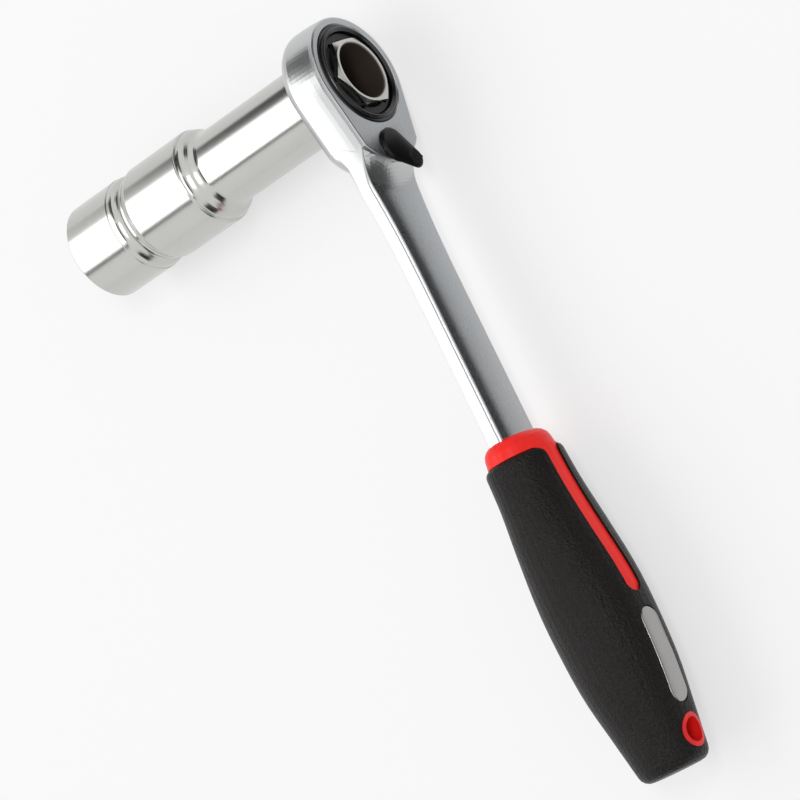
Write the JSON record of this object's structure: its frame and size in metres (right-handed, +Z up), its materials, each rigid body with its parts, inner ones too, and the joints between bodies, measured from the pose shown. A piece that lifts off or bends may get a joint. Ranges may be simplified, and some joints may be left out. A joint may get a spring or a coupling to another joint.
{
  "type": "ratchet wrench",
  "caption": "Reversible ratchet wrench with a pass-through hexagon drive, a long hexagon socket that pulls off, and a two-part moulded handle with a hanging hole.",
  "frame": {"origin": "on the drive axis, midway through the thickness of the head", "axes": "+X away from the handle along the wrench, +Y along the drive axis towards the socket's working end, +Z up with the wrench lying flat"},
  "size_m": [0.1986, 0.0999, 0.0318],
  "materials": {
    "forging": "satin-polished chrome plate",
    "socket_chrome": "satin chrome plate, polished shoulder and bead",
    "black_steel": "black oxide, lightly oiled",
    "lever_black": "black coated casting",
    "bright_steel": "ground and hardened",
    "seal_rubber": "matt nitrile rubber",
    "core_red": "satin hard plastic, moulded",
    "grip_black": "soft moulded grip with a fine pebbled grain",
    "plate_metal": "brushed, with a bright bevelled edge",
    "pad_black": "adhesive foam pad"
  },
  "bodies": {
    "wrench": {"head_and_shank": "forging", "front_ring": "black_steel", "gear_snap_ring": "bright_steel", "thrust_washer": "bright_steel", "handle_core": "core_red", "grip": "grip_black", "inlay_plate": "plate_metal", "plate_pad": "pad_black", "hang_eyelet": "core_red"},
    "drive": {"ring_gear": "black_steel", "rear_seal": "seal_rubber", "socket_grip_ring": "seal_rubber"},
    "socket": {"socket": "socket_chrome"},
    "lever": {"reverse_lever": "lever_black", "lever_spindle": "bright_steel", "spindle_seal": "seal_rubber", "spindle_clip": "bright_steel", "detent_spring": "bright_steel", "detent_ball": "bright_steel"},
    "pawl": {"pawl": "bright_steel"}
  },
  "joints": [
    {"name": "drive_spin", "type": "hinge", "parent": "wrench", "child": "drive", "pos_m": [0, 0, 0], "axis": [0, 1, 0], "continuous": true},
    {"name": "socket_pull", "type": "slide", "parent": "drive", "child": "socket", "axis": [0, 1, 0], "range_m": [0, 0.02]},
    {"name": "lever_turn", "type": "hinge", "parent": "wrench", "child": "lever", "pos_m": [-0.0198, 0, 0], "axis": [0, 1, 0], "range_deg": [0, 90]},
    {"name": "pawl_rock", "type": "hinge", "parent": "wrench", "child": "pawl", "pos_m": [-0.0198, 0, 0], "axis": [0, 1, 0], "range_deg": [-10, 0]}
  ],
  "couplings": [
    {"joint": "pawl_rock", "follows": "lever_turn", "ratio": -0.11111}
  ]
}
